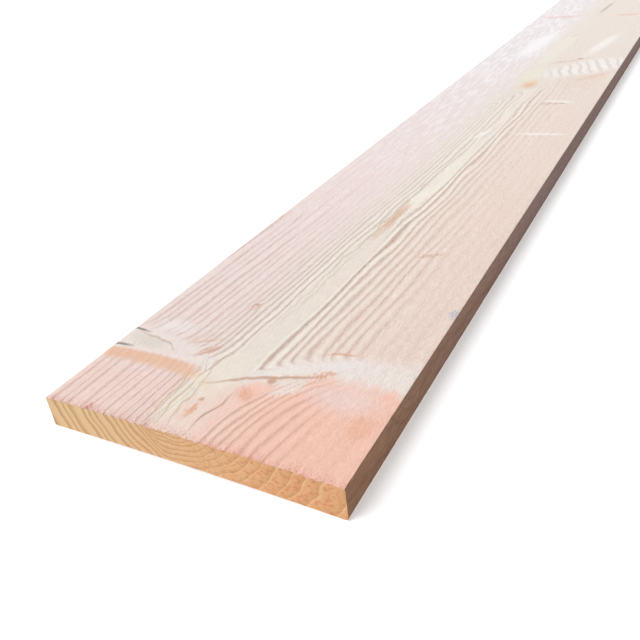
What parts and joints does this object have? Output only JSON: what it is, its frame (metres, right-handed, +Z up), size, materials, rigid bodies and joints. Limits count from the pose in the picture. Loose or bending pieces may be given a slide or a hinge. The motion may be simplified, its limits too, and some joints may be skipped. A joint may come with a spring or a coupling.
{
  "type": "timber plank",
  "caption": "Fine-sawn softwood plank, wide and thin, cut square at both ends, with a slight cup across its width; for cladding, decking, shelving and general building work.",
  "frame": {"origin": "middle of the board's bounding box, on the plane that the board lies on", "axes": "+X along the length, +Y across the width, +Z up out of the crowned face"},
  "size_m": [3, 0.2, 0.0235],
  "materials": {
    "sawn_softwood": "fine-sawn and unplaned, untreated, pale salmon-pink heartwood with a cream streak and spike knots"
  },
  "bodies": {
    "root": {"plank": "sawn_softwood"}
  },
  "joints": []
}
